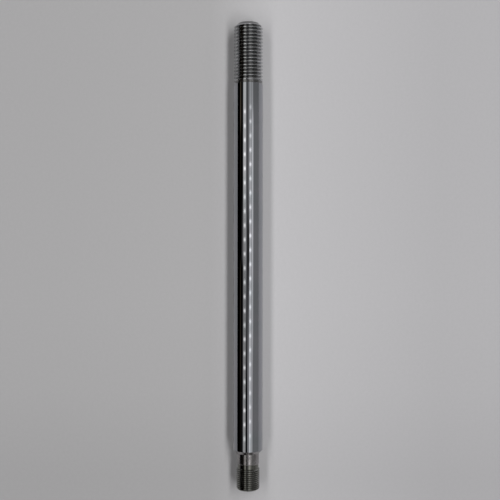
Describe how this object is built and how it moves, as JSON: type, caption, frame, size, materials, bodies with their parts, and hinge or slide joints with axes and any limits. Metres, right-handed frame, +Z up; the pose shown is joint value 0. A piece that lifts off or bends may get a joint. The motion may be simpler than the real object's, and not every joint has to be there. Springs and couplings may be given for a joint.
{
  "type": "stepped shaft",
  "caption": "Round chromed shaft with a full-size coarse thread at one end, a conical shoulder, and a necked spigot with a fine thread at the other.",
  "frame": {"origin": "on the shaft's axis, midway between its two end faces", "axes": "+X along the axis, from the coarse-threaded head to the fine-threaded spigot; +Z up from the surface that the shaft lies on"},
  "size_m": [0.48, 0.03, 0.03],
  "materials": {
    "chromed_steel": "hard chrome on a ground rod, satin turned steel on the threads and end faces"
  },
  "bodies": {
    "root": {"stepped_shaft": "chromed_steel"}
  },
  "joints": []
}
